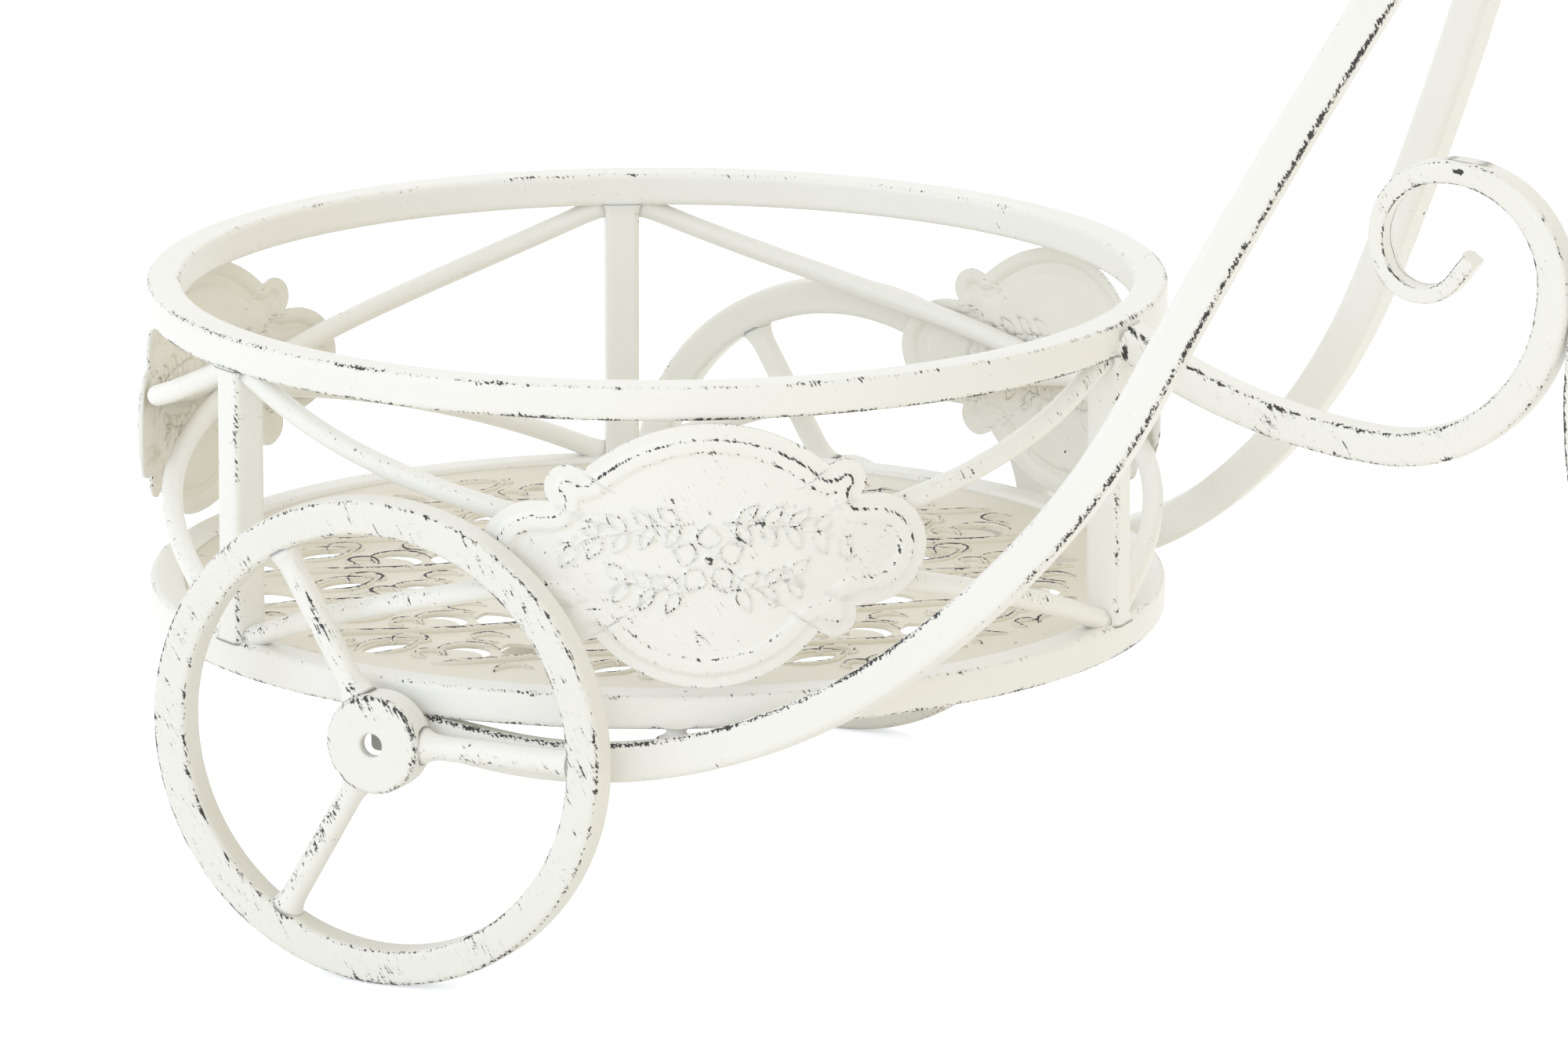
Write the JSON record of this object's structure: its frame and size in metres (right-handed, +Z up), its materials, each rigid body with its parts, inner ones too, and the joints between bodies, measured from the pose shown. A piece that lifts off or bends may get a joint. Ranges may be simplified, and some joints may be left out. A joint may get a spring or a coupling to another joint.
{
  "type": "tricycle planter",
  "caption": "Welded metal planter shaped like a tricycle, with a round openwork basket between two small rear wheels and a large front wheel.",
  "frame": {"origin": "on the ground, under the middle of the overall length and width", "axes": "+X forward from the basket to the front wheel, +Y to the left, +Z up"},
  "size_m": [0.75, 0.318, 0.4826],
  "materials": {
    "bar_paint": "cream-white satin paint rubbed dark along the edges",
    "rod_paint": "cream-white satin paint with a few dark scuffs",
    "sheet_paint": "cream-white satin paint rubbed dark on the raised lines",
    "hub_paint": "cream-white satin paint chipped round the face's edge"
  },
  "bodies": {
    "root": {"basket_top_ring": "bar_paint", "basket_bottom_ring": "bar_paint", "basket_floor": "sheet_paint", "post_front": "bar_paint", "post_left": "bar_paint", "post_right": "bar_paint", "brace_right_rising": "rod_paint", "brace_right_falling": "rod_paint", "brace_left_rising": "rod_paint", "brace_left_falling": "rod_paint", "brace_rear_rising": "rod_paint", "brace_rear_falling": "rod_paint", "plaque_right": "sheet_paint", "plaque_left": "sheet_paint", "plaque_rear": "sheet_paint", "axle_bar": "bar_paint", "arm_right": "bar_paint", "arm_left": "bar_paint", "strut_right": "rod_paint", "strut_left": "rod_paint", "rear_rim_right": "bar_paint", "rear_hub_right": "hub_paint", "rear_spokes_right": "rod_paint", "rear_rim_left": "bar_paint", "rear_hub_left": "hub_paint", "rear_spokes_left": "rod_paint", "scroll": "bar_paint", "front_rim": "bar_paint", "front_hub": "hub_paint", "front_spokes": "rod_paint", "fork_leg_right": "bar_paint", "fork_leg_left": "bar_paint", "fork_crown": "bar_paint", "stem": "rod_paint", "handlebar": "rod_paint", "cross_bar": "bar_paint", "saddle_post": "rod_paint", "saddle": "sheet_paint"}
  },
  "joints": []
}
